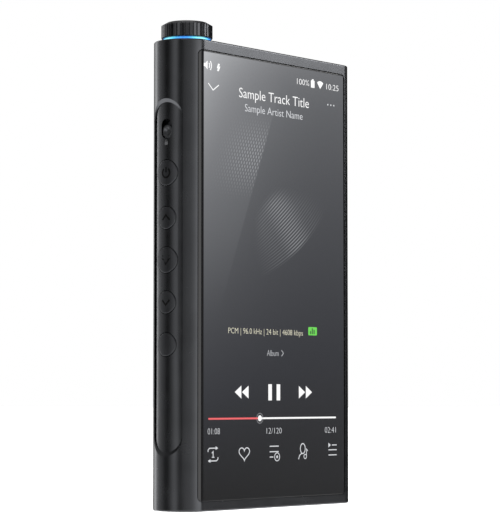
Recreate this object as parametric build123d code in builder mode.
"""Pocket digital audio player with a round control spine and a light-ringed volume knob.

Frame: millimetres, origin at the middle of the bottom face, +Z up to the knob,
+X to the right as the screen is read, and the screen faces -Y.
"""

import os
from math import hypot

from build123d import *

os.makedirs("parts", exist_ok=True)

# ---- Driving dimensions -------------------------------------------------------------------

# Case
BODY_WIDTH = 75.9
BODY_HEIGHT = 130.75
BODY_THICKNESS = 17.4
SPINE_RADIUS = 9.25
CORNER_RADIUS = 4.5
CREASE_BLEND = 4.0
RIM_FILLET = 0.45
SIDE_WALL = 1.95
END_WALL = 4.2
TUNNEL_RADIUS = 7.0
CAVITY_HALF_DEPTH = 6.2

# Glass panes
PANE_SINK = 0.08
PANE_GAP = 0.2
PANE_INNER_FACE = 7.6
PANE_EDGE_ROUND = 0.15
SEAL_THICKNESS = 0.15
SEAL_MARGIN = 0.35
SEAL_OVERHANG = 0.2
PANE_LEFT = -33.35
PANE_RIGHT = 33.4
PANE_BOTTOM = 2.6
PANE_TOP = 127.85
PANE_CORNER = 1.5
WINDOW_LEFT = -30.6
WINDOW_RIGHT = 32.0
WINDOW_CORNER = 1.0

# Control pocket in the spine
POCKET_DEPTH = 0.5
POCKET_SLOPE = 1.0
POCKET_SLOPE_DEPTH = 0.42
POCKET_BOTTOM = 16.15
POCKET_TOP = 113.2
POCKET_WIDTH = 8.64
POCKET_SIDE = 0.8

# Buttons: height of the middle and radius of each cap
BUTTONS = {
    "power_button": (93.5, 3.55),
    "previous_button": (81.0, 3.1),
    "play_button": (69.3, 3.55),
    "next_button": (57.6, 3.1),
    "function_button": (45.9, 3.2),
}
BUTTON_CLEARANCE = 0.18
BUTTON_PROUD = 0.1
BUTTON_FLANGE = 0.5
BUTTON_EDGE_ROUND = 0.18
FLANGE_X = (-34.25, -33.75)
NUB_X = -33.45
NUB_RADIUS = 0.8

# Hold slider
HOLD_SLOT_MIDDLE = 105.8
HOLD_SLOT_HEIGHT = 5.5
HOLD_SLOT_WIDTH = 3.7
HOLD_KNOB_HEIGHT = 3.8
HOLD_CLEARANCE = 0.12
HOLD_FACE_X = -37.05
HOLD_KNOB_CORNER = 1.65
HOLD_PLATE_X = (-35.1, -34.6)
HOLD_PLATE_SIZE = (5.0, 7.4)
HOLD_FORK_X = -33.4
HOLD_DISH_RISE = 0.2
HOLD_DISH_DEPTH = 0.55
HOLD_DISH_RADII = (1.6, 0.55)

# Boards and switches behind the keys: low and high x of each flat piece
KEY_DOME_X = (-32.95, -32.55)
KEY_SWITCH_X = (-32.6, -31.9)
HOLD_SWITCH_X = (-33.2, -31.9)
KEY_BOARD_X = (-31.9, -31.3)
KEY_BRACKET_X = (-31.3, -30.8)
KEY_FIXINGS = (51.7, 87.2)

# Volume knob, its light ring and its encoder
KNOB_RADIUS = 7.2
KNOB_BOTTOM = 131.75
KNOB_TOP = 136.3
KNOB_SHOULDER_WIDTH = 1.6
KNOB_SHOULDER_HEIGHT = 0.9
KNOB_FOOT_BEVEL = 0.2
KNOB_RECESS_RADIUS = 5.6
KNOB_RECESS_DEPTH = 0.65
FLUTE_COUNT = 40
FLUTE_RADIUS = 0.27
FLUTE_DEPTH = 0.4
RING_RADIUS = 6.75
RING_TOP = 131.6
RING_STEM_RADIUS = 6.2
RING_STEM_BOTTOM = 129.7
RING_BORE_RADIUS = 5.35
LED_COUNT = 4
LED_START_ANGLE = -13.0
LED_CIRCLE_RADIUS = 5.66
SHAFT_RADIUS = 2.5
SHAFT_BOTTOM = 120.8
SHAFT_TOP = 134.4
SHAFT_FLAT_BOTTOM = 132.5
SHAFT_FLAT_Y = 1.7
RUNNING_FIT = 0.05
ENCODER_BOTTOM = 119.6
ENCODER_SIDE = 8.8
ENCODER_FLOOR = 1.0
BUSH_RADIUS = 3.4
BUSH_TOP = 131.3
BUSH_CLEARANCE = 0.1
NUT_HEIGHT = 1.6
NUT_RADIUS = 5.0
WASHER_RADIUS = 4.9
WASHER_THICKNESS = 0.25
COUNTERBORE_RADIUS = 6.3
COUNTERBORE_FLOOR = 128.2
RING_BOARD_RADIUS = 6.2
RING_BOARD_THICKNESS = 0.6

# Sockets in the bottom end: x place, bore radius, bore depth, collar radius, housing width, depth
JACKS = {
    "3_5mm": (-17.0, 1.8, 15.0, 3.0, 6.6, 5.4),
    "2_5mm": (11.0, 1.3, 12.0, 2.4, 5.4, 4.4),
    "4_4mm": (23.0, 2.25, 19.5, 3.6, 8.4, 7.0),
}
COLLAR_RECESS = 0.15
MOUTH_CHAMFER = 0.25
HOUSING_END = 1.5
USB_X = -3.0
USB_WIDTH = 9.0
USB_THICKNESS = 3.2
USB_DEPTH = 8.0
USB_WALL = 0.3
USB_RECESS = 0.3
TONGUE_Z = (1.2, 6.3)
TONGUE_SECTION = (6.7, 0.7)

# Memory card tray, which slides out of the right-hand side
TRAY_Y = 3.6
TRAY_Z = 36.0
TRAY_WIDTH = 12.8
TRAY_THICKNESS = 1.2
TRAY_INNER_END = 15.6
TRAY_FACE_BACK = 36.2
TRAY_CLEARANCE = 0.15
TRAY_FACE_MARGIN = 0.3
TRAY_FLOOR = 0.3
TRAY_RIM = 0.8
CARD_X = (17.0, 32.0)
CARD_WIDTH = 11.0
CARD_THICKNESS = 0.85
CARD_CLEARANCE = 0.1
READER_X = (15.0, 31.2)
READER_WALL = 0.3

# Layers from the screen to the back: low and high y of each flat piece
LCD_Y = (-7.58, -6.2)
BACKPLATE_Y = (-6.2, -5.9)
MIDPLATE_Y = (-5.4, -4.6)
BATTERY_Y = (-4.35, 1.2)
AUDIO_BOARD_Y = (-1.4, -0.4)
MAIN_BOARD_Y = (1.6, 2.6)
PROCESSOR_Y = (2.6, 3.7)
THERMAL_PAD_Y = (3.7, 4.4)
PROCESSOR_SHIELD_Y = (2.6, 4.6)
RADIO_SHIELD_Y = (2.6, 4.2)
READER_Y = (2.6, 4.6)
AUDIO_SHIELD_Y = (-1.4, -3.4)
CAPACITOR_Y = (-0.4, 1.2)
OSCILLATOR_Y = (-0.4, 0.6)
ANTENNA_THICKNESS = 0.2
SHIELD_WALL = 0.2

# Screws: M1.6 machine screws
SCREW_RADIUS = 0.75
SCREW_HOLE = 0.8
SCREW_PASS = 0.95
SCREW_HEAD = 1.4
PLATE_HEAD_HEIGHT = 0.4
BOARD_HEAD_HEIGHT = 0.8
BOARD_SCREW_LENGTH = 2.7
LUG_PLACES = [(30.0, 12.0), (30.0, 62.0), (30.0, 100.0), (-28.0, 12.0), (-28.0, 116.0)]
LUG_Y = (-4.6, -2.2)
LUG_LEFT = -34.4
LUG_SIZE = (2.0, 3.0)
MAIN_POSTS = [(x, z) for x in (-21.2, 28.8) for z in (48.6, 81.0, 120.2)]
AUDIO_POSTS = [(x, z) for x in (-20.8, 28.6) for z in (24.5, 43.6)]
POST_RADIUS = 1.6

# ---- Worked out from the driving dimensions -----------------------------------------------

FRONT = -BODY_THICKNESS / 2
BACK = BODY_THICKNESS / 2
LEFT = -BODY_WIDTH / 2
RIGHT = BODY_WIDTH / 2
SPINE_X = LEFT + SPINE_RADIUS
CAVITY_RIGHT = RIGHT - SIDE_WALL
CAVITY_BOTTOM = END_WALL
CAVITY_TOP = BODY_HEIGHT - END_WALL
POCKET_FLOOR_X = SPINE_X + POCKET_DEPTH
RING_BOARD_TOP = COUNTERBORE_FLOOR + RING_BOARD_THICKNESS
HOLD_REST = HOLD_SLOT_MIDDLE - (HOLD_SLOT_HEIGHT - HOLD_KNOB_HEIGHT) / 2 + HOLD_CLEARANCE
TRAY_BACK_Y = TRAY_Y + TRAY_THICKNESS / 2


def body_outline(inset=0.0):
    """Section of the case from above: a slab whose left side is a round spine."""
    with BuildSketch() as section:
        with Locations((SPINE_X, 0)):
            Circle(SPINE_RADIUS)
        with Locations(((SPINE_X + RIGHT) / 2, 0)):
            Rectangle(RIGHT - SPINE_X, BODY_THICKNESS)
        Rectangle(2 * BODY_WIDTH, BODY_THICKNESS, mode=Mode.INTERSECT)
        fillet(section.vertices().group_by(Axis.X)[-1], CORNER_RADIUS)
        fillet(section.vertices().group_by(Axis.X)[0], CREASE_BLEND)
        if inset:
            offset(amount=-inset, mode=Mode.REPLACE)
    return section.sketch


def front_plane(y):
    """Plane that faces the viewer of the screen, with its sketch axes along +X and +Z."""
    return Plane.XZ.offset(-y)


def upright_rectangle(x0, x1, z0, z1, radius=0.0, mode=Mode.ADD):
    """Rectangle on a front plane, given by its edges."""
    with Locations(((x0 + x1) / 2, (z0 + z1) / 2)):
        if radius:
            RectangleRounded(x1 - x0, z1 - z0, radius, mode=mode)
        else:
            Rectangle(x1 - x0, z1 - z0, mode=mode)


# ---- Case frame ---------------------------------------------------------------------------


def pocket_cut(height, width):
    """Slot cut with straight walls, down to a floor that is the spine's own curve moved inwards."""
    with BuildPart() as cut:
        with BuildSketch(Plane.YZ.offset(LEFT - 1)):
            with Locations((0, (POCKET_BOTTOM + POCKET_TOP) / 2)):
                SlotOverall(height, width, rotation=90)
        extrude(amount=SPINE_RADIUS)
        with BuildSketch(Plane.XY):
            with Locations((POCKET_FLOOR_X, 0)):
                Circle(SPINE_RADIUS)
        extrude(amount=BODY_HEIGHT, mode=Mode.SUBTRACT)
    return cut.part


with BuildPart() as frame:
    add(body_outline())
    extrude(amount=BODY_HEIGHT)
    end_rims = frame.faces().sort_by(Axis.Z)
    fillet(end_rims[0].edges() + end_rims[-1].edges(), RIM_FILLET)

    # Control pocket sunk into the spine: its rim slopes at the ends, and its sides are straight
    add(pocket_cut(POCKET_TOP - POCKET_BOTTOM, POCKET_WIDTH), mode=Mode.SUBTRACT)
    rim = [
        edge
        for edge in frame.edges()
        if abs(hypot((edge @ 0.5).X - SPINE_X, (edge @ 0.5).Y) - SPINE_RADIUS) < 0.02
        and abs((edge @ 0.5).Y) < POCKET_WIDTH / 2 + 0.05
        and POCKET_BOTTOM - 0.1 < (edge @ 0.5).Z < POCKET_TOP + 0.1
    ]
    spine_face = [face for face in frame.faces() if rim[0] in face.edges()]
    spine_face = sorted(spine_face, key=lambda face: face.area)[-1]
    chamfer(rim, POCKET_SLOPE, POCKET_SLOPE_DEPTH, reference=spine_face)
    add(pocket_cut(POCKET_TOP - POCKET_BOTTOM, POCKET_WIDTH + 2 * POCKET_SIDE), mode=Mode.SUBTRACT)

    # Round tunnel inside the spine and the main cavity beside it
    with BuildSketch(Plane.XY.offset(CAVITY_BOTTOM)):
        with Locations((SPINE_X, 0)):
            Circle(TUNNEL_RADIUS)
        with Locations(((WINDOW_LEFT + CAVITY_RIGHT) / 2, 0)):
            Rectangle(CAVITY_RIGHT - WINDOW_LEFT, 2 * CAVITY_HALF_DEPTH)
    extrude(amount=CAVITY_TOP - CAVITY_BOTTOM, mode=Mode.SUBTRACT)

    # Window right through, with a ledge around it for each pane
    with BuildSketch(front_plane(BACK)):
        upright_rectangle(WINDOW_LEFT, WINDOW_RIGHT, CAVITY_BOTTOM, CAVITY_TOP, WINDOW_CORNER)
    extrude(amount=BODY_THICKNESS, mode=Mode.SUBTRACT)
    for ledge in (FRONT - 1, BACK + 1):
        depth = abs(ledge) - PANE_INNER_FACE + SEAL_THICKNESS
        with BuildSketch(front_plane(ledge)):
            upright_rectangle(PANE_LEFT, PANE_RIGHT, PANE_BOTTOM, PANE_TOP, PANE_CORNER)
        extrude(amount=depth if ledge > 0 else -depth, mode=Mode.SUBTRACT)

    # Button holes and the slot of the hold slider
    with BuildSketch(Plane.YZ.offset(LEFT)):
        for middle, radius in BUTTONS.values():
            with Locations((0, middle)):
                Circle(radius + BUTTON_CLEARANCE)
        with Locations((0, HOLD_SLOT_MIDDLE)):
            SlotOverall(HOLD_SLOT_HEIGHT, HOLD_SLOT_WIDTH, rotation=90)
    extrude(amount=4.0, mode=Mode.SUBTRACT)

    # Seat of the light ring and the hole for the encoder's bush
    with BuildSketch(Plane.XY.offset(COUNTERBORE_FLOOR)):
        with Locations((SPINE_X, 0)):
            Circle(COUNTERBORE_RADIUS)
    extrude(amount=BODY_HEIGHT - COUNTERBORE_FLOOR, mode=Mode.SUBTRACT)
    with BuildSketch(Plane.XY.offset(CAVITY_TOP)):
        with Locations((SPINE_X, 0)):
            Circle(BUSH_RADIUS + BUSH_CLEARANCE)
    extrude(amount=COUNTERBORE_FLOOR - CAVITY_TOP, mode=Mode.SUBTRACT)

    # Socket openings through the bottom end
    with BuildSketch(Plane.XY):
        for x, collar in [(jack[0], jack[3]) for jack in JACKS.values()]:
            with Locations((x, 0)):
                Circle(collar + RUNNING_FIT)
        with Locations((USB_X, 0)):
            SlotOverall(USB_WIDTH + 0.2, USB_THICKNESS + 0.2)
    extrude(amount=END_WALL, mode=Mode.SUBTRACT)

    # Slot for the card tray through the right-hand wall
    with BuildSketch(Plane.YZ.offset(CAVITY_RIGHT)):
        with Locations((TRAY_Y, TRAY_Z)):
            RectangleRounded(
                TRAY_THICKNESS + 2 * (TRAY_FACE_MARGIN + TRAY_CLEARANCE),
                TRAY_WIDTH + 2 * (TRAY_FACE_MARGIN + TRAY_CLEARANCE),
                0.8,
            )
    extrude(amount=SIDE_WALL + 1, mode=Mode.SUBTRACT)

    # Lugs that the midplate is screwed to
    with BuildSketch(front_plane(LUG_Y[1])):
        for x, z in LUG_PLACES:
            if x > 0:
                upright_rectangle(x - LUG_SIZE[0], CAVITY_RIGHT + 0.1, z - LUG_SIZE[1], z + LUG_SIZE[1])
            else:
                upright_rectangle(LUG_LEFT, x + LUG_SIZE[0], z - LUG_SIZE[1], z + LUG_SIZE[1])
        with Locations(LUG_PLACES):
            Circle(SCREW_HOLE, mode=Mode.SUBTRACT)
    extrude(amount=LUG_Y[1] - LUG_Y[0])

frame.part.label = "frame"
export_step(frame.part, "parts/frame.step")

# ---- Front and back panes with the seals behind them --------------------------------------

with BuildPart() as front_glass:
    add(body_outline(PANE_SINK))
    extrude(amount=BODY_HEIGHT)
    with BuildSketch(front_plane(-PANE_INNER_FACE)):
        upright_rectangle(
            PANE_LEFT + PANE_GAP,
            PANE_RIGHT - PANE_GAP,
            PANE_BOTTOM + PANE_GAP,
            PANE_TOP - PANE_GAP,
            PANE_CORNER - PANE_GAP,
        )
    extrude(amount=BODY_THICKNESS, mode=Mode.INTERSECT)
    outer_faces = [
        face
        for face in front_glass.faces()
        if abs(face.center().Y - FRONT) < 0.6 and abs(face.normal_at().Y) > 0.8
    ]
    polished_rim = [
        edge
        for edge in front_glass.edges()
        if sum(edge in face.edges() for face in outer_faces) == 1
    ]
    fillet(polished_rim, PANE_EDGE_ROUND)

front_glass.part.label = "front_glass"
export_step(front_glass.part, "parts/front_glass.step")

with BuildPart() as back_glass:
    add(front_glass.part)
    mirror(about=Plane.XZ, mode=Mode.REPLACE)

back_glass.part.label = "back_glass"
export_step(back_glass.part, "parts/back_glass.step")

with BuildPart() as front_seal:
    with BuildSketch(front_plane(SEAL_THICKNESS - PANE_INNER_FACE)):
        upright_rectangle(
            PANE_LEFT + SEAL_MARGIN,
            PANE_RIGHT - SEAL_MARGIN,
            PANE_BOTTOM + SEAL_MARGIN,
            PANE_TOP - SEAL_MARGIN,
            PANE_CORNER - SEAL_MARGIN,
        )
        upright_rectangle(
            WINDOW_LEFT + SEAL_OVERHANG,
            WINDOW_RIGHT - SEAL_OVERHANG,
            CAVITY_BOTTOM + SEAL_OVERHANG,
            CAVITY_TOP - SEAL_OVERHANG,
            WINDOW_CORNER - SEAL_OVERHANG,
            mode=Mode.SUBTRACT,
        )
    extrude(amount=SEAL_THICKNESS)

front_seal.part.label = "front_seal"
export_step(front_seal.part, "parts/front_seal.step")

with BuildPart() as back_seal:
    add(front_seal.part)
    mirror(about=Plane.XZ, mode=Mode.REPLACE)

back_seal.part.label = "back_seal"
export_step(back_seal.part, "parts/back_seal.step")

# ---- Display behind the front glass -------------------------------------------------------

with BuildPart() as lcd_panel:
    with BuildSketch(front_plane(LCD_Y[1])):
        upright_rectangle(-30.2, 31.6, 4.7, 126.1, 0.6)
    extrude(amount=LCD_Y[1] - LCD_Y[0])

lcd_panel.part.label = "lcd_panel"
export_step(lcd_panel.part, "parts/lcd_panel.step")

with BuildPart() as lcd_backplate:
    with BuildSketch(front_plane(BACKPLATE_Y[1])):
        upright_rectangle(-30.0, 31.4, 4.9, 125.9, 0.8)
        with Locations((12, 30), (12, 70), (12, 110)):
            SlotOverall(14, 3, mode=Mode.SUBTRACT)
    extrude(amount=BACKPLATE_Y[1] - BACKPLATE_Y[0])

lcd_backplate.part.label = "lcd_backplate"
export_step(lcd_backplate.part, "parts/lcd_backplate.step")

# Ribbon that turns from the display through the midplate to the main board
with BuildPart() as display_flex:
    with BuildSketch(Plane.YZ.offset(-4.0)):
        with BuildLine():
            Polyline(
                (-5.85, 30.0),
                (-5.73, 30.0),
                (-5.73, 47.94),
                (0.9, 47.94),
                (0.9, 48.06),
                (-5.85, 48.06),
                close=True,
            )
        make_face()
    extrude(amount=12.0)

display_flex.part.label = "display_flex"
export_step(display_flex.part, "parts/display_flex.step")

with BuildPart() as display_connector:
    with BuildSketch(front_plane(MAIN_BOARD_Y[0])):
        upright_rectangle(-5.0, 9.0, 46.9, 49.1, 0.4)
    extrude(amount=0.7)

display_connector.part.label = "display_connector"
export_step(display_connector.part, "parts/display_connector.step")

# ---- Midplate with the posts that carry both boards ---------------------------------------

with BuildPart() as midplate:
    with BuildSketch(front_plane(MIDPLATE_Y[1])):
        upright_rectangle(-29.8, 31.2, 4.9, 125.3, 1.0)
        upright_rectangle(-4.5, 8.5, 46.8, 49.4, 0.8, mode=Mode.SUBTRACT)
        with Locations(LUG_PLACES):
            Circle(SCREW_PASS, mode=Mode.SUBTRACT)
        with GridLocations(22, 34, 2, 2):
            Circle(2.2, mode=Mode.SUBTRACT)
    extrude(amount=MIDPLATE_Y[1] - MIDPLATE_Y[0])
    for places, seat in ((MAIN_POSTS, MAIN_BOARD_Y[0]), (AUDIO_POSTS, AUDIO_BOARD_Y[0])):
        with BuildSketch(front_plane(seat)):
            with Locations(places):
                Circle(POST_RADIUS)
        extrude(amount=seat - MIDPLATE_Y[1] + 0.1)
        with BuildSketch(front_plane(seat)):
            with Locations(places):
                Circle(SCREW_HOLE)
        extrude(amount=BOARD_SCREW_LENGTH, mode=Mode.SUBTRACT)

midplate.part.label = "midplate"
export_step(midplate.part, "parts/midplate.step")

# ---- Battery ------------------------------------------------------------------------------

with BuildPart() as battery_pack:
    with BuildSketch(front_plane(BATTERY_Y[1])):
        upright_rectangle(-19.0, 26.5, 51.0, 114.5, 1.0)
    extrude(amount=BATTERY_Y[1] - BATTERY_Y[0])
    fillet(battery_pack.edges().filter_by(Axis.Z), 1.4)
    with BuildSketch(front_plane(-0.6)):
        upright_rectangle(-18.0, 25.5, 114.4, 117.0, 0.4)
    extrude(amount=2.0)

battery_pack.part.label = "battery_pack"
export_step(battery_pack.part, "parts/battery_pack.step")

with BuildPart() as battery_tape:
    with BuildSketch(front_plane(BATTERY_Y[0])):
        for x in (-12.0, 12.0):
            upright_rectangle(x, x + 8.0, 54.0, 112.0, 0.5)
    extrude(amount=BATTERY_Y[0] - MIDPLATE_Y[1])

battery_tape.part.label = "battery_tape"
export_step(battery_tape.part, "parts/battery_tape.step")

with BuildPart() as battery_lead:
    for x in (11.6, 13.4):
        with BuildLine(Plane.YZ.offset(x)) as wire_path:
            FilletPolyline((-1.6, 117.0), (-1.6, 119.6), (-0.4, 119.6), radius=0.55)
        with BuildSketch(Plane(origin=(x, -1.6, 117.0), z_dir=(0, 0, 1))):
            Circle(0.45)
        sweep(path=wire_path.line)

battery_lead.part.label = "battery_lead"
export_step(battery_lead.part, "parts/battery_lead.step")

with BuildPart() as battery_connector:
    with BuildSketch(front_plane(MAIN_BOARD_Y[0])):
        upright_rectangle(9.5, 15.5, 118.0, 121.2, 0.3)
    extrude(amount=2.0)

battery_connector.part.label = "battery_connector"
export_step(battery_connector.part, "parts/battery_connector.step")

# ---- Main board and what is soldered to it ------------------------------------------------

with BuildPart() as main_board:
    with BuildSketch(front_plane(MAIN_BOARD_Y[1])):
        upright_rectangle(-23.4, 31.0, 22.0, 123.0, 1.0)
        upright_rectangle(-24.0, -18.0, 58.0, 72.0, mode=Mode.SUBTRACT)
        with Locations(MAIN_POSTS):
            Circle(SCREW_PASS, mode=Mode.SUBTRACT)
    extrude(amount=MAIN_BOARD_Y[1] - MAIN_BOARD_Y[0])

main_board.part.label = "main_board"
export_step(main_board.part, "parts/main_board.step")

with BuildPart() as processor:
    with BuildSketch(front_plane(PROCESSOR_Y[1])):
        upright_rectangle(-14.0, 0.0, 90.0, 104.0, 0.2)
    extrude(amount=PROCESSOR_Y[1] - PROCESSOR_Y[0])

processor.part.label = "processor"
export_step(processor.part, "parts/processor.step")

with BuildPart() as thermal_pad:
    with BuildSketch(front_plane(THERMAL_PAD_Y[1])):
        upright_rectangle(-13.0, -1.0, 91.0, 103.0, 0.5)
    extrude(amount=THERMAL_PAD_Y[1] - THERMAL_PAD_Y[0])

thermal_pad.part.label = "thermal_pad"
export_step(thermal_pad.part, "parts/thermal_pad.step")


def shield_can(x0, x1, z0, z1, open_y, closed_y):
    """Pressed sheet-metal can, open towards its board."""
    wall = SHIELD_WALL
    lid = wall if closed_y > open_y else -wall
    with BuildPart() as can:
        with BuildSketch(front_plane(open_y)):
            upright_rectangle(x0, x1, z0, z1, 0.6)
        extrude(amount=open_y - closed_y)
        with BuildSketch(front_plane(open_y)):
            upright_rectangle(x0 + wall, x1 - wall, z0 + wall, z1 - wall, 0.4)
        extrude(amount=open_y - closed_y + lid, mode=Mode.SUBTRACT)
    return can.part


with BuildPart() as processor_shield:
    add(shield_can(-18.0, 8.0, 82.0, 112.0, *PROCESSOR_SHIELD_Y))

processor_shield.part.label = "processor_shield"
export_step(processor_shield.part, "parts/processor_shield.step")

with BuildPart() as radio_shield:
    add(shield_can(12.0, 26.5, 86.0, 110.0, *RADIO_SHIELD_Y))

radio_shield.part.label = "radio_shield"
export_step(radio_shield.part, "parts/radio_shield.step")

with BuildPart() as antenna:
    with BuildSketch(front_plane(PANE_INNER_FACE)):
        upright_rectangle(8.0, 28.0, 112.0, 122.0, 0.8)
        upright_rectangle(11.0, 25.0, 115.0, 119.0, 0.4, mode=Mode.SUBTRACT)
    extrude(amount=ANTENNA_THICKNESS)

antenna.part.label = "antenna"
export_step(antenna.part, "parts/antenna.step")

# ---- Audio board --------------------------------------------------------------------------

with BuildPart() as audio_board:
    with BuildSketch(front_plane(AUDIO_BOARD_Y[1])):
        upright_rectangle(-23.0, 31.0, 4.8, 46.0)
        notches = [(x, width, bore_depth + HOUSING_END) for x, _, bore_depth, _, width, _ in JACKS.values()]
        for x, width, top in notches + [(USB_X, USB_WIDTH, USB_DEPTH)]:
            side = width / 2 + 0.2
            upright_rectangle(x - side, x + side, CAVITY_BOTTOM, top + 0.4, mode=Mode.SUBTRACT)
        with Locations(AUDIO_POSTS):
            Circle(SCREW_PASS, mode=Mode.SUBTRACT)
    extrude(amount=AUDIO_BOARD_Y[1] - AUDIO_BOARD_Y[0])

audio_board.part.label = "audio_board"
export_step(audio_board.part, "parts/audio_board.step")

with BuildPart() as dac_shield:
    add(shield_can(-18.0, 4.0, 25.0, 42.0, *AUDIO_SHIELD_Y))

dac_shield.part.label = "dac_shield"
export_step(dac_shield.part, "parts/dac_shield.step")

with BuildPart() as amplifier_shield:
    add(shield_can(7.0, 26.0, 25.0, 42.0, *AUDIO_SHIELD_Y))

amplifier_shield.part.label = "amplifier_shield"
export_step(amplifier_shield.part, "parts/amplifier_shield.step")

with BuildPart() as board_connector:
    with BuildSketch(front_plane(MAIN_BOARD_Y[0])):
        upright_rectangle(2.0, 14.0, 43.0, 45.4, 0.3)
    extrude(amount=MAIN_BOARD_Y[0] - AUDIO_BOARD_Y[1])

board_connector.part.label = "board_connector"
export_step(board_connector.part, "parts/board_connector.step")

with BuildPart() as filter_capacitors:
    with BuildSketch(front_plane(CAPACITOR_Y[1])):
        with Locations((-11.0, 32.0)):
            with GridLocations(4.4, 5.2, 3, 3):
                Circle(1.6)
    extrude(amount=CAPACITOR_Y[1] - CAPACITOR_Y[0])

filter_capacitors.part.label = "filter_capacitors"
export_step(filter_capacitors.part, "parts/filter_capacitors.step")

with BuildPart() as clock_oscillators:
    with BuildSketch(front_plane(OSCILLATOR_Y[1])):
        with Locations((15.0, 32.0), (20.5, 32.0)):
            RectangleRounded(3.2, 2.5, 0.3)
    extrude(amount=OSCILLATOR_Y[1] - OSCILLATOR_Y[0])

clock_oscillators.part.label = "clock_oscillators"
export_step(clock_oscillators.part, "parts/clock_oscillators.step")

# ---- Headphone sockets: a metal collar in the case end and a housing behind it ------------

for size, (x, bore, bore_depth, collar, width, depth) in JACKS.items():
    with BuildPart() as jack_collar:
        with BuildSketch(Plane.XY.offset(COLLAR_RECESS)):
            with Locations((x, 0)):
                Circle(collar)
        extrude(amount=END_WALL - COLLAR_RECESS)
        chamfer(jack_collar.edges().sort_by(Axis.Z)[0], MOUTH_CHAMFER)
        with BuildSketch(Plane.XY.offset(COLLAR_RECESS)):
            with Locations((x, 0)):
                Circle(bore)
        extrude(amount=END_WALL - COLLAR_RECESS, mode=Mode.SUBTRACT)
        mouth = jack_collar.edges().group_by(Axis.Z)[0].sort_by(SortBy.LENGTH)[0]
        chamfer(mouth, MOUTH_CHAMFER)

    jack_collar.part.label = f"jack_{size}_collar"
    export_step(jack_collar.part, f"parts/jack_{size}_collar.step")

    with BuildPart() as jack_housing:
        with BuildSketch(Plane.XY.offset(END_WALL)):
            with Locations((x, 0)):
                RectangleRounded(width, depth, 0.8)
        extrude(amount=bore_depth + HOUSING_END - END_WALL)
        with BuildSketch(Plane.XY.offset(END_WALL)):
            with Locations((x, 0)):
                Circle(bore)
        extrude(amount=bore_depth - END_WALL, mode=Mode.SUBTRACT)

    jack_housing.part.label = f"jack_{size}"
    export_step(jack_housing.part, f"parts/jack_{size}.step")

# ---- Charging and data port ---------------------------------------------------------------

with BuildPart() as usb_shell:
    with BuildSketch(Plane.XY.offset(USB_RECESS)):
        with Locations((USB_X, 0)):
            SlotOverall(USB_WIDTH, USB_THICKNESS)
    extrude(amount=USB_DEPTH - USB_RECESS)
    with BuildSketch(Plane.XY.offset(USB_RECESS)):
        with Locations((USB_X, 0)):
            SlotOverall(USB_WIDTH - 2 * USB_WALL, USB_THICKNESS - 2 * USB_WALL)
    extrude(amount=USB_DEPTH - USB_RECESS - USB_WALL, mode=Mode.SUBTRACT)

usb_shell.part.label = "usb_shell"
export_step(usb_shell.part, "parts/usb_shell.step")

with BuildPart() as usb_tongue:
    with BuildSketch(Plane.XY.offset(TONGUE_Z[1])):
        with Locations((USB_X, 0)):
            SlotOverall(USB_WIDTH - 2 * USB_WALL - 0.1, USB_THICKNESS - 2 * USB_WALL - 0.1)
    extrude(amount=USB_DEPTH - USB_WALL - TONGUE_Z[1])
    with BuildSketch(Plane.XY.offset(TONGUE_Z[0])):
        with Locations((USB_X, 0)):
            RectangleRounded(*TONGUE_SECTION, 0.2)
    extrude(amount=TONGUE_Z[1] - TONGUE_Z[0] + 0.1)

usb_tongue.part.label = "usb_tongue"
export_step(usb_tongue.part, "parts/usb_tongue.step")

# ---- Volume encoder, light ring and knob, all on the spine's axis -------------------------

with BuildPart() as encoder_body:
    with BuildSketch(Plane.XY.offset(ENCODER_BOTTOM)):
        with Locations((SPINE_X, 0)):
            RectangleRounded(ENCODER_SIDE, ENCODER_SIDE, 0.6)
    extrude(amount=CAVITY_TOP - 0.1 - ENCODER_BOTTOM)
    with BuildSketch(Plane.XY.offset(CAVITY_TOP - 0.1)):
        with Locations((SPINE_X, 0)):
            Circle(BUSH_RADIUS)
    extrude(amount=BUSH_TOP - CAVITY_TOP + 0.1)
    with BuildSketch(Plane.XY.offset(ENCODER_BOTTOM + ENCODER_FLOOR)):
        with Locations((SPINE_X, 0)):
            Circle(SHAFT_RADIUS + RUNNING_FIT)
    extrude(amount=BUSH_TOP - ENCODER_BOTTOM - ENCODER_FLOOR, mode=Mode.SUBTRACT)

encoder_body.part.label = "encoder_body"
export_step(encoder_body.part, "parts/encoder_body.step")

with BuildPart() as ring_board:
    with BuildSketch(Plane.XY.offset(COUNTERBORE_FLOOR)):
        with Locations((SPINE_X, 0)):
            Circle(RING_BOARD_RADIUS)
            Circle(BUSH_RADIUS + 2 * BUSH_CLEARANCE, mode=Mode.SUBTRACT)
    extrude(amount=RING_BOARD_THICKNESS)

ring_board.part.label = "ring_board"
export_step(ring_board.part, "parts/ring_board.step")

with BuildPart() as ring_leds:
    with BuildSketch(Plane.XY.offset(RING_BOARD_TOP)):
        with Locations((SPINE_X, 0)):
            with PolarLocations(LED_CIRCLE_RADIUS, LED_COUNT, start_angle=LED_START_ANGLE):
                Rectangle(0.8, 1.2)
    extrude(amount=0.5)

ring_leds.part.label = "ring_leds"
export_step(ring_leds.part, "parts/ring_leds.step")

with BuildPart() as encoder_washer:
    with BuildSketch(Plane.XY.offset(RING_BOARD_TOP)):
        with Locations((SPINE_X, 0)):
            Circle(WASHER_RADIUS)
            Circle(BUSH_RADIUS + BUSH_CLEARANCE, mode=Mode.SUBTRACT)
    extrude(amount=WASHER_THICKNESS)

encoder_washer.part.label = "encoder_washer"
export_step(encoder_washer.part, "parts/encoder_washer.step")

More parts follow.
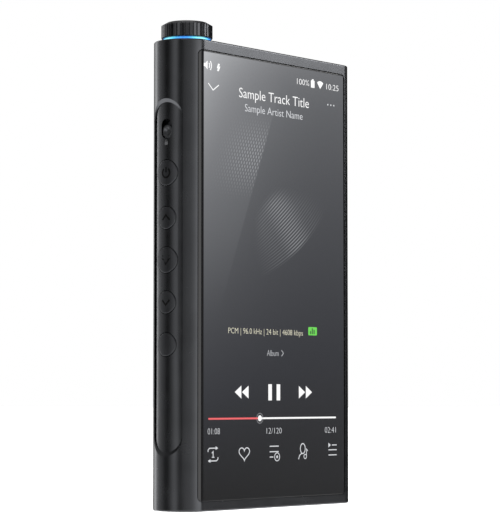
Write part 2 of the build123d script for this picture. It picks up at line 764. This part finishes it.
with BuildPart() as encoder_nut:
    with BuildSketch(Plane.XY.offset(RING_BOARD_TOP + WASHER_THICKNESS)):
        with Locations((SPINE_X, 0)):
            RegularPolygon(NUT_RADIUS, 6)
            Circle(BUSH_RADIUS + RUNNING_FIT, mode=Mode.SUBTRACT)
    extrude(amount=NUT_HEIGHT)

encoder_nut.part.label = "encoder_nut"
export_step(encoder_nut.part, "parts/encoder_nut.step")

with BuildPart() as light_ring:
    with BuildSketch(Plane.XY.offset(RING_STEM_BOTTOM)):
        with Locations((SPINE_X, 0)):
            Circle(RING_STEM_RADIUS)
    extrude(amount=BODY_HEIGHT - RING_STEM_BOTTOM)
    with BuildSketch(Plane.XY.offset(BODY_HEIGHT)):
        with Locations((SPINE_X, 0)):
            Circle(RING_RADIUS)
    extrude(amount=RING_TOP - BODY_HEIGHT)
    fillet(light_ring.edges().group_by(Axis.Z)[-1], 0.2)
    with BuildSketch(Plane.XY.offset(RING_STEM_BOTTOM)):
        with Locations((SPINE_X, 0)):
            Circle(RING_BORE_RADIUS)
    extrude(amount=RING_TOP - RING_STEM_BOTTOM, mode=Mode.SUBTRACT)

light_ring.part.label = "light_ring"
export_step(light_ring.part, "parts/light_ring.step")

with BuildPart() as encoder_shaft:
    with BuildSketch(Plane.XY.offset(SHAFT_BOTTOM)):
        with Locations((SPINE_X, 0)):
            Circle(SHAFT_RADIUS)
    extrude(amount=SHAFT_TOP - SHAFT_BOTTOM)
    # Flat that keeps the knob from slipping
    with BuildSketch(Plane.XY.offset(SHAFT_FLAT_BOTTOM)):
        with Locations((SPINE_X, SHAFT_FLAT_Y)):
            Rectangle(2.4 * SHAFT_RADIUS, SHAFT_RADIUS, align=(Align.CENTER, Align.MIN))
    extrude(amount=SHAFT_TOP - SHAFT_FLAT_BOTTOM, mode=Mode.SUBTRACT)

encoder_shaft.part.label = "encoder_shaft"
export_step(encoder_shaft.part, "parts/encoder_shaft.step")

with BuildPart() as volume_knob:
    with BuildSketch(Plane.XY.offset(KNOB_BOTTOM)):
        with Locations((SPINE_X, 0)):
            Circle(KNOB_RADIUS)
            with PolarLocations(KNOB_RADIUS - FLUTE_DEPTH + FLUTE_RADIUS, FLUTE_COUNT):
                Circle(FLUTE_RADIUS, mode=Mode.SUBTRACT)
    extrude(amount=KNOB_TOP - KNOB_BOTTOM)
    # Sloping shoulder above the flutes and a shallower one below them
    with BuildSketch(Plane.XZ, mode=Mode.PRIVATE) as envelope:
        with BuildLine():
            Polyline(
                (SPINE_X, KNOB_BOTTOM),
                (SPINE_X + KNOB_RADIUS - KNOB_FOOT_BEVEL, KNOB_BOTTOM),
                (SPINE_X + KNOB_RADIUS, KNOB_BOTTOM + KNOB_FOOT_BEVEL),
                (SPINE_X + KNOB_RADIUS, KNOB_TOP - KNOB_SHOULDER_HEIGHT),
                (SPINE_X + KNOB_RADIUS - KNOB_SHOULDER_WIDTH, KNOB_TOP),
                (SPINE_X, KNOB_TOP),
                close=True,
            )
        make_face()
    revolve(envelope.sketch, axis=Axis((SPINE_X, 0, 0), (0, 0, 1)), mode=Mode.INTERSECT)
    # Recess over the nut and the blind bore for the shaft
    with BuildSketch(Plane.XY.offset(KNOB_BOTTOM)):
        with Locations((SPINE_X, 0)):
            Circle(KNOB_RECESS_RADIUS)
    extrude(amount=KNOB_RECESS_DEPTH, mode=Mode.SUBTRACT)
    with BuildSketch(Plane.XY.offset(KNOB_BOTTOM)):
        with Locations((SPINE_X, 0)):
            Circle(SHAFT_RADIUS + 0.01)
    extrude(amount=SHAFT_TOP + RUNNING_FIT - KNOB_BOTTOM, mode=Mode.SUBTRACT)

volume_knob.part.label = "volume_knob"
export_step(volume_knob.part, "parts/volume_knob.step")

# ---- Buttons: curved caps that follow the pocket floor, with a retaining flange -----------

for button, (middle, radius) in BUTTONS.items():
    with BuildPart() as cap:
        with BuildSketch(Plane.XY.offset(middle - 2 * radius)):
            with Locations((POCKET_FLOOR_X - BUTTON_PROUD, 0)):
                Circle(SPINE_RADIUS)
        extrude(amount=4 * radius)
        with BuildSketch(Plane.YZ.offset(LEFT)):
            with Locations((0, middle)):
                Circle(radius)
        extrude(amount=FLANGE_X[1] - LEFT, mode=Mode.INTERSECT)
        fillet(cap.edges().sort_by(Axis.X)[0], BUTTON_EDGE_ROUND)
        with BuildSketch(Plane.YZ.offset(FLANGE_X[0])):
            with Locations((0, middle)):
                Circle(radius + BUTTON_FLANGE)
        extrude(amount=FLANGE_X[1] - FLANGE_X[0])
        with BuildSketch(Plane.YZ.offset(FLANGE_X[1])):
            with Locations((0, middle)):
                Circle(NUB_RADIUS)
        extrude(amount=NUB_X - FLANGE_X[1])

    cap.part.label = button
    export_step(cap.part, f"parts/{button}.step")

# ---- Hold slider and its switch -----------------------------------------------------------

with BuildPart() as hold_slider:
    # Guide plate behind the wall, then the knob that stands in the slot
    with BuildSketch(Plane.YZ.offset(HOLD_PLATE_X[0])):
        with Locations((0, HOLD_REST)):
            RectangleRounded(*HOLD_PLATE_SIZE, 0.6)
    extrude(amount=HOLD_PLATE_X[1] - HOLD_PLATE_X[0])
    with BuildSketch(Plane.YZ.offset(HOLD_PLATE_X[1])):
        with Locations((0, HOLD_REST)):
            knob_width = HOLD_SLOT_WIDTH - 2 * HOLD_CLEARANCE
            RectangleRounded(knob_width, HOLD_KNOB_HEIGHT, HOLD_KNOB_CORNER)
    extrude(amount=HOLD_FACE_X - HOLD_PLATE_X[1])
    fillet(hold_slider.faces().sort_by(Axis.X)[0].edges(), 0.25)
    # Fork that drives the switch
    with BuildSketch(Plane.YZ.offset(HOLD_PLATE_X[1])):
        with Locations((0, HOLD_REST)):
            Rectangle(1.2, 1.4)
    extrude(amount=HOLD_FORK_X - HOLD_PLATE_X[1])
    # Dish for a fingertip
    with BuildSketch(Plane.XZ):
        with BuildLine():
            Polyline(
                (HOLD_FACE_X - HOLD_DISH_RISE, HOLD_REST),
                (HOLD_FACE_X - HOLD_DISH_RISE, HOLD_REST + HOLD_DISH_RADII[0]),
                (HOLD_FACE_X + HOLD_DISH_DEPTH, HOLD_REST + HOLD_DISH_RADII[1]),
                (HOLD_FACE_X + HOLD_DISH_DEPTH, HOLD_REST),
                close=True,
            )
        make_face()
    revolve(axis=Axis((0, 0, HOLD_REST), (1, 0, 0)), mode=Mode.SUBTRACT)

hold_slider.part.label = "hold_slider"
export_step(hold_slider.part, "parts/hold_slider.step")

with BuildPart() as hold_switch:
    with BuildSketch(Plane.YZ.offset(HOLD_SWITCH_X[0])):
        with Locations((0, 105.6)):
            RectangleRounded(3.2, 7.6, 0.3)
    extrude(amount=HOLD_SWITCH_X[1] - HOLD_SWITCH_X[0])

hold_switch.part.label = "hold_switch"
export_step(hold_switch.part, "parts/hold_switch.step")

# ---- Side key board behind the buttons ----------------------------------------------------

with BuildPart() as key_board:
    with BuildSketch(Plane.YZ.offset(KEY_BOARD_X[0])):
        with Locations((0, 74.5)):
            RectangleRounded(6.8, 73.0, 1.0)
        for middle in KEY_FIXINGS:
            with Locations((0, middle)):
                Circle(SCREW_HOLE, mode=Mode.SUBTRACT)
    extrude(amount=KEY_BOARD_X[1] - KEY_BOARD_X[0])

key_board.part.label = "key_board"
export_step(key_board.part, "parts/key_board.step")

with BuildPart() as key_switches:
    for middle in [middle for middle, radius in BUTTONS.values()]:
        with BuildSketch(Plane.YZ.offset(KEY_SWITCH_X[0])):
            with Locations((0, middle)):
                RectangleRounded(3.2, 3.2, 0.3)
        extrude(amount=KEY_SWITCH_X[1] - KEY_SWITCH_X[0])
        with BuildSketch(Plane.YZ.offset(KEY_DOME_X[0])):
            with Locations((0, middle)):
                Circle(1.0)
        extrude(amount=KEY_DOME_X[1] - KEY_DOME_X[0])

key_switches.part.label = "key_switches"
export_step(key_switches.part, "parts/key_switches.step")

with BuildPart() as key_bracket:
    with BuildSketch(Plane.YZ.offset(KEY_BRACKET_X[0])):
        with Locations((0, 73.0)):
            RectangleRounded(8.4, 78.0, 1.0)
        for middle in KEY_FIXINGS:
            with Locations((0, middle)):
                Circle(SCREW_HOLE, mode=Mode.SUBTRACT)
    extrude(amount=KEY_BRACKET_X[1] - KEY_BRACKET_X[0])

key_bracket.part.label = "key_bracket"
export_step(key_bracket.part, "parts/key_bracket.step")

# ---- Memory card reader, tray and card ----------------------------------------------------

with BuildPart() as card_reader:
    with BuildSketch(Plane.YZ.offset(READER_X[0])):
        with Locations(((READER_Y[0] + READER_Y[1]) / 2, TRAY_Z)):
            Rectangle(READER_Y[1] - READER_Y[0], TRAY_WIDTH + 1.2)
    extrude(amount=READER_X[1] - READER_X[0])
    with BuildSketch(Plane.YZ.offset(READER_X[0] + READER_WALL)):
        with Locations((TRAY_Y, TRAY_Z)):
            Rectangle(TRAY_THICKNESS + 2 * TRAY_CLEARANCE, TRAY_WIDTH + 2 * TRAY_CLEARANCE)
    extrude(amount=READER_X[1] - READER_X[0], mode=Mode.SUBTRACT)

card_reader.part.label = "card_reader"
export_step(card_reader.part, "parts/card_reader.step")

with BuildPart() as card_tray:
    with BuildSketch(front_plane(TRAY_BACK_Y)):
        side = TRAY_WIDTH / 2
        upright_rectangle(TRAY_INNER_END, TRAY_FACE_BACK + 0.5, TRAY_Z - side, TRAY_Z + side, 0.5)
    extrude(amount=TRAY_THICKNESS)
    with BuildSketch(front_plane(TRAY_BACK_Y)):
        upright_rectangle(
            CARD_X[0] - CARD_CLEARANCE,
            CARD_X[1] + CARD_CLEARANCE,
            TRAY_Z - side + TRAY_RIM,
            TRAY_Z + side - TRAY_RIM,
            0.4,
        )
    extrude(amount=TRAY_THICKNESS - TRAY_FLOOR, mode=Mode.SUBTRACT)
    with BuildSketch(Plane.YZ.offset(TRAY_FACE_BACK)):
        with Locations((TRAY_Y, TRAY_Z)):
            RectangleRounded(
                TRAY_THICKNESS + 2 * TRAY_FACE_MARGIN,
                TRAY_WIDTH + 2 * TRAY_FACE_MARGIN,
                0.65,
            )
    extrude(amount=RIGHT - TRAY_FACE_BACK)
    extrude(body_outline(), amount=BODY_HEIGHT, mode=Mode.INTERSECT)
    # Hole for the pin that frees the tray
    with BuildSketch(Plane.YZ.offset(TRAY_FACE_BACK)):
        with Locations((TRAY_Y, TRAY_Z + 4.6)):
            Circle(0.45)
    extrude(amount=RIGHT - TRAY_FACE_BACK, mode=Mode.SUBTRACT)

card_tray.part.label = "card_tray"
export_step(card_tray.part, "parts/card_tray.step")

with BuildPart() as memory_card:
    with BuildSketch(front_plane(TRAY_BACK_Y)):
        upright_rectangle(*CARD_X, TRAY_Z - CARD_WIDTH / 2, TRAY_Z + CARD_WIDTH / 2)
    extrude(amount=CARD_THICKNESS)
    chamfer(memory_card.edges().filter_by(Axis.Y).group_by(Axis.X)[0], 0.8)

memory_card.part.label = "memory_card"
export_step(memory_card.part, "parts/memory_card.step")

# ---- Screws -------------------------------------------------------------------------------

with BuildPart() as plate_screws:
    with BuildSketch(front_plane(MIDPLATE_Y[0])):
        with Locations(LUG_PLACES):
            Circle(SCREW_HEAD)
    extrude(amount=PLATE_HEAD_HEIGHT)
    with BuildSketch(front_plane(LUG_Y[1])):
        with Locations(LUG_PLACES):
            Circle(SCREW_RADIUS)
    extrude(amount=LUG_Y[1] - MIDPLATE_Y[0])

plate_screws.part.label = "plate_screws"
export_step(plate_screws.part, "parts/plate_screws.step")

with BuildPart() as board_screws:
    for places, seat in ((MAIN_POSTS, MAIN_BOARD_Y[1]), (AUDIO_POSTS, AUDIO_BOARD_Y[1])):
        with BuildSketch(front_plane(seat + BOARD_HEAD_HEIGHT)):
            with Locations(places):
                Circle(SCREW_HEAD)
        extrude(amount=BOARD_HEAD_HEIGHT)
        with BuildSketch(front_plane(seat)):
            with Locations(places):
                Circle(SCREW_RADIUS)
        extrude(amount=MAIN_BOARD_Y[1] - MAIN_BOARD_Y[0] + BOARD_SCREW_LENGTH - 0.2)

board_screws.part.label = "board_screws"
export_step(board_screws.part, "parts/board_screws.step")
